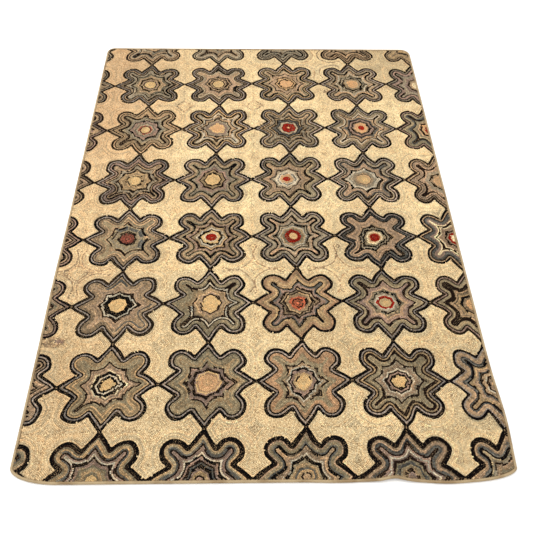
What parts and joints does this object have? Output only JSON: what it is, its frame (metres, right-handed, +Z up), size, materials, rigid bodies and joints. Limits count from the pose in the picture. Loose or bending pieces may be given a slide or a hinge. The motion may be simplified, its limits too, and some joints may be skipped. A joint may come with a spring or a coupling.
{
  "type": "hooked rug",
  "caption": "Flat hooked wool rug with an all-over pattern of eight-lobed stars on a cream ground and a narrow rolled cloth edge binding; it lies on a floor.",
  "frame": {"origin": "under the middle of the rug, on the surface that it lies on", "axes": "+X across the rug to the right, +Y along its length to the far end, +Z up through its thickness"},
  "size_m": [1.826, 2.671, 0.0147],
  "materials": {
    "hooked_wool": "matte wool loops in rows that follow the pattern, on a burlap ground",
    "binding_cloth": "dull khaki twill strip, rolled and hand sewn"
  },
  "bodies": {
    "root": {"hooked_panel": "hooked_wool", "edge_binding": "binding_cloth"}
  },
  "joints": []
}
